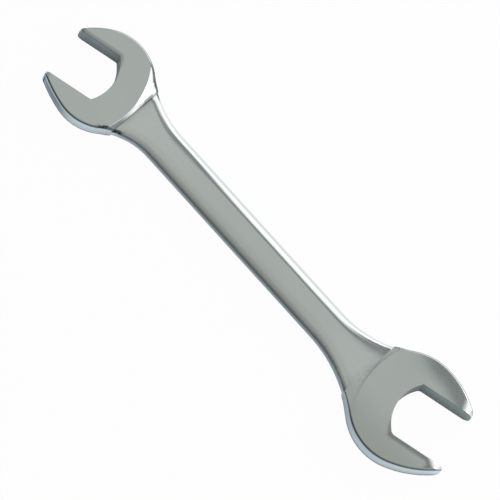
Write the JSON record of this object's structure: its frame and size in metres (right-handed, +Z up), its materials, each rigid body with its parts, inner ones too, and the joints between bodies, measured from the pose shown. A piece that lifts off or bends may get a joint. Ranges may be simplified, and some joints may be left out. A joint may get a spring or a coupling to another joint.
{
  "type": "open end wrench",
  "caption": "Open end wrench: a flat chrome plated steel shank flares into a round head at either end, each head with an open jaw set at an angle to the shank.",
  "frame": {"origin": "centre of the wrench's bounding box, on the plane that it lies on", "axes": "+X along the shank from the small head to the large one, +Y across the shank towards the side that the large jaws open to, +Z up, square to the flat faces"},
  "size_m": [0.2814, 0.0586, 0.0125],
  "materials": {
    "satin_chrome": "satin chrome plating on forged and ground steel"
  },
  "bodies": {
    "root": {"wrench_forging": "satin_chrome"}
  },
  "joints": []
}
